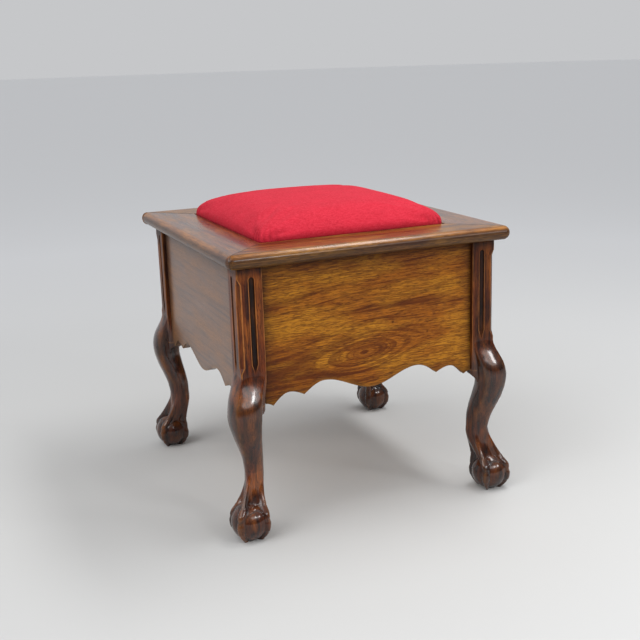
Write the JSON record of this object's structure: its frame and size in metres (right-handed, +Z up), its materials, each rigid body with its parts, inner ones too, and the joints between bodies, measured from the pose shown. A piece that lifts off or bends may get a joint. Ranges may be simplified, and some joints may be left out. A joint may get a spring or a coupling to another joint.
{
  "type": "shoe shine footstool",
  "caption": "Square mahogany footstool on ball-and-claw cabriole legs; its hinged lid carries a padded seat and opens on a compartment with a shoe rest.",
  "frame": {"origin": "on the floor, at the centre of the four feet", "axes": "+Z up, front towards -Y, +X to the right as seen from the front"},
  "size_m": [0.4792, 0.4982, 0.482],
  "materials": {
    "dark_mahogany": "French polished, worn paler on the edges",
    "case_mahogany": "French polished, figured",
    "lid_mahogany": "French polished, glossy",
    "pale_pine": "sawn and planed, unfinished",
    "brass": "satin, tarnished",
    "steel": "satin",
    "red_cloth": "woven, matt",
    "stuffing": "felted",
    "black_cloth": "plain woven, matt"
  },
  "bodies": {
    "case": {"front_left_leg": "dark_mahogany", "front_right_leg": "dark_mahogany", "back_left_leg": "dark_mahogany", "back_right_leg": "dark_mahogany", "front_panel": "case_mahogany", "back_panel": "case_mahogany", "left_panel": "case_mahogany", "right_panel": "case_mahogany", "floor_board": "pale_pine", "front_cleat": "pale_pine", "back_cleat": "pale_pine", "left_cleat": "pale_pine", "right_cleat": "pale_pine", "shoe_rest_base": "dark_mahogany", "shoe_rest_heel_upright": "dark_mahogany", "shoe_rest_toe_upright": "dark_mahogany", "shoe_rest_heel_pad": "dark_mahogany", "shoe_rest_sole_plate": "dark_mahogany", "shoe_rest_screws": "steel", "left_hinge_case_leaf": "brass", "right_hinge_case_leaf": "brass", "hinge_pins": "brass", "hinge_case_screws": "brass"},
    "lid": {"left_hinge_lid_leaf": "brass", "right_hinge_lid_leaf": "brass", "hinge_lid_screws": "brass", "lid_front_rail": "lid_mahogany", "lid_back_rail": "lid_mahogany", "lid_left_rail": "lid_mahogany", "lid_right_rail": "lid_mahogany", "lid_mitre_splines": "lid_mahogany", "seat_corner_blocks": "pale_pine", "seat_screws": "steel", "seat_board": "pale_pine", "seat_padding": "stuffing", "seat_cover": "red_cloth", "seat_dust_cloth": "black_cloth", "dust_cloth_tacks": "steel"}
  },
  "joints": [
    {"name": "lid_hinge", "type": "hinge", "parent": "case", "child": "lid", "pos_m": [0, 0.2271, 0.41785], "axis": [-1, 0, 0], "range_deg": [0, 105]}
  ]
}
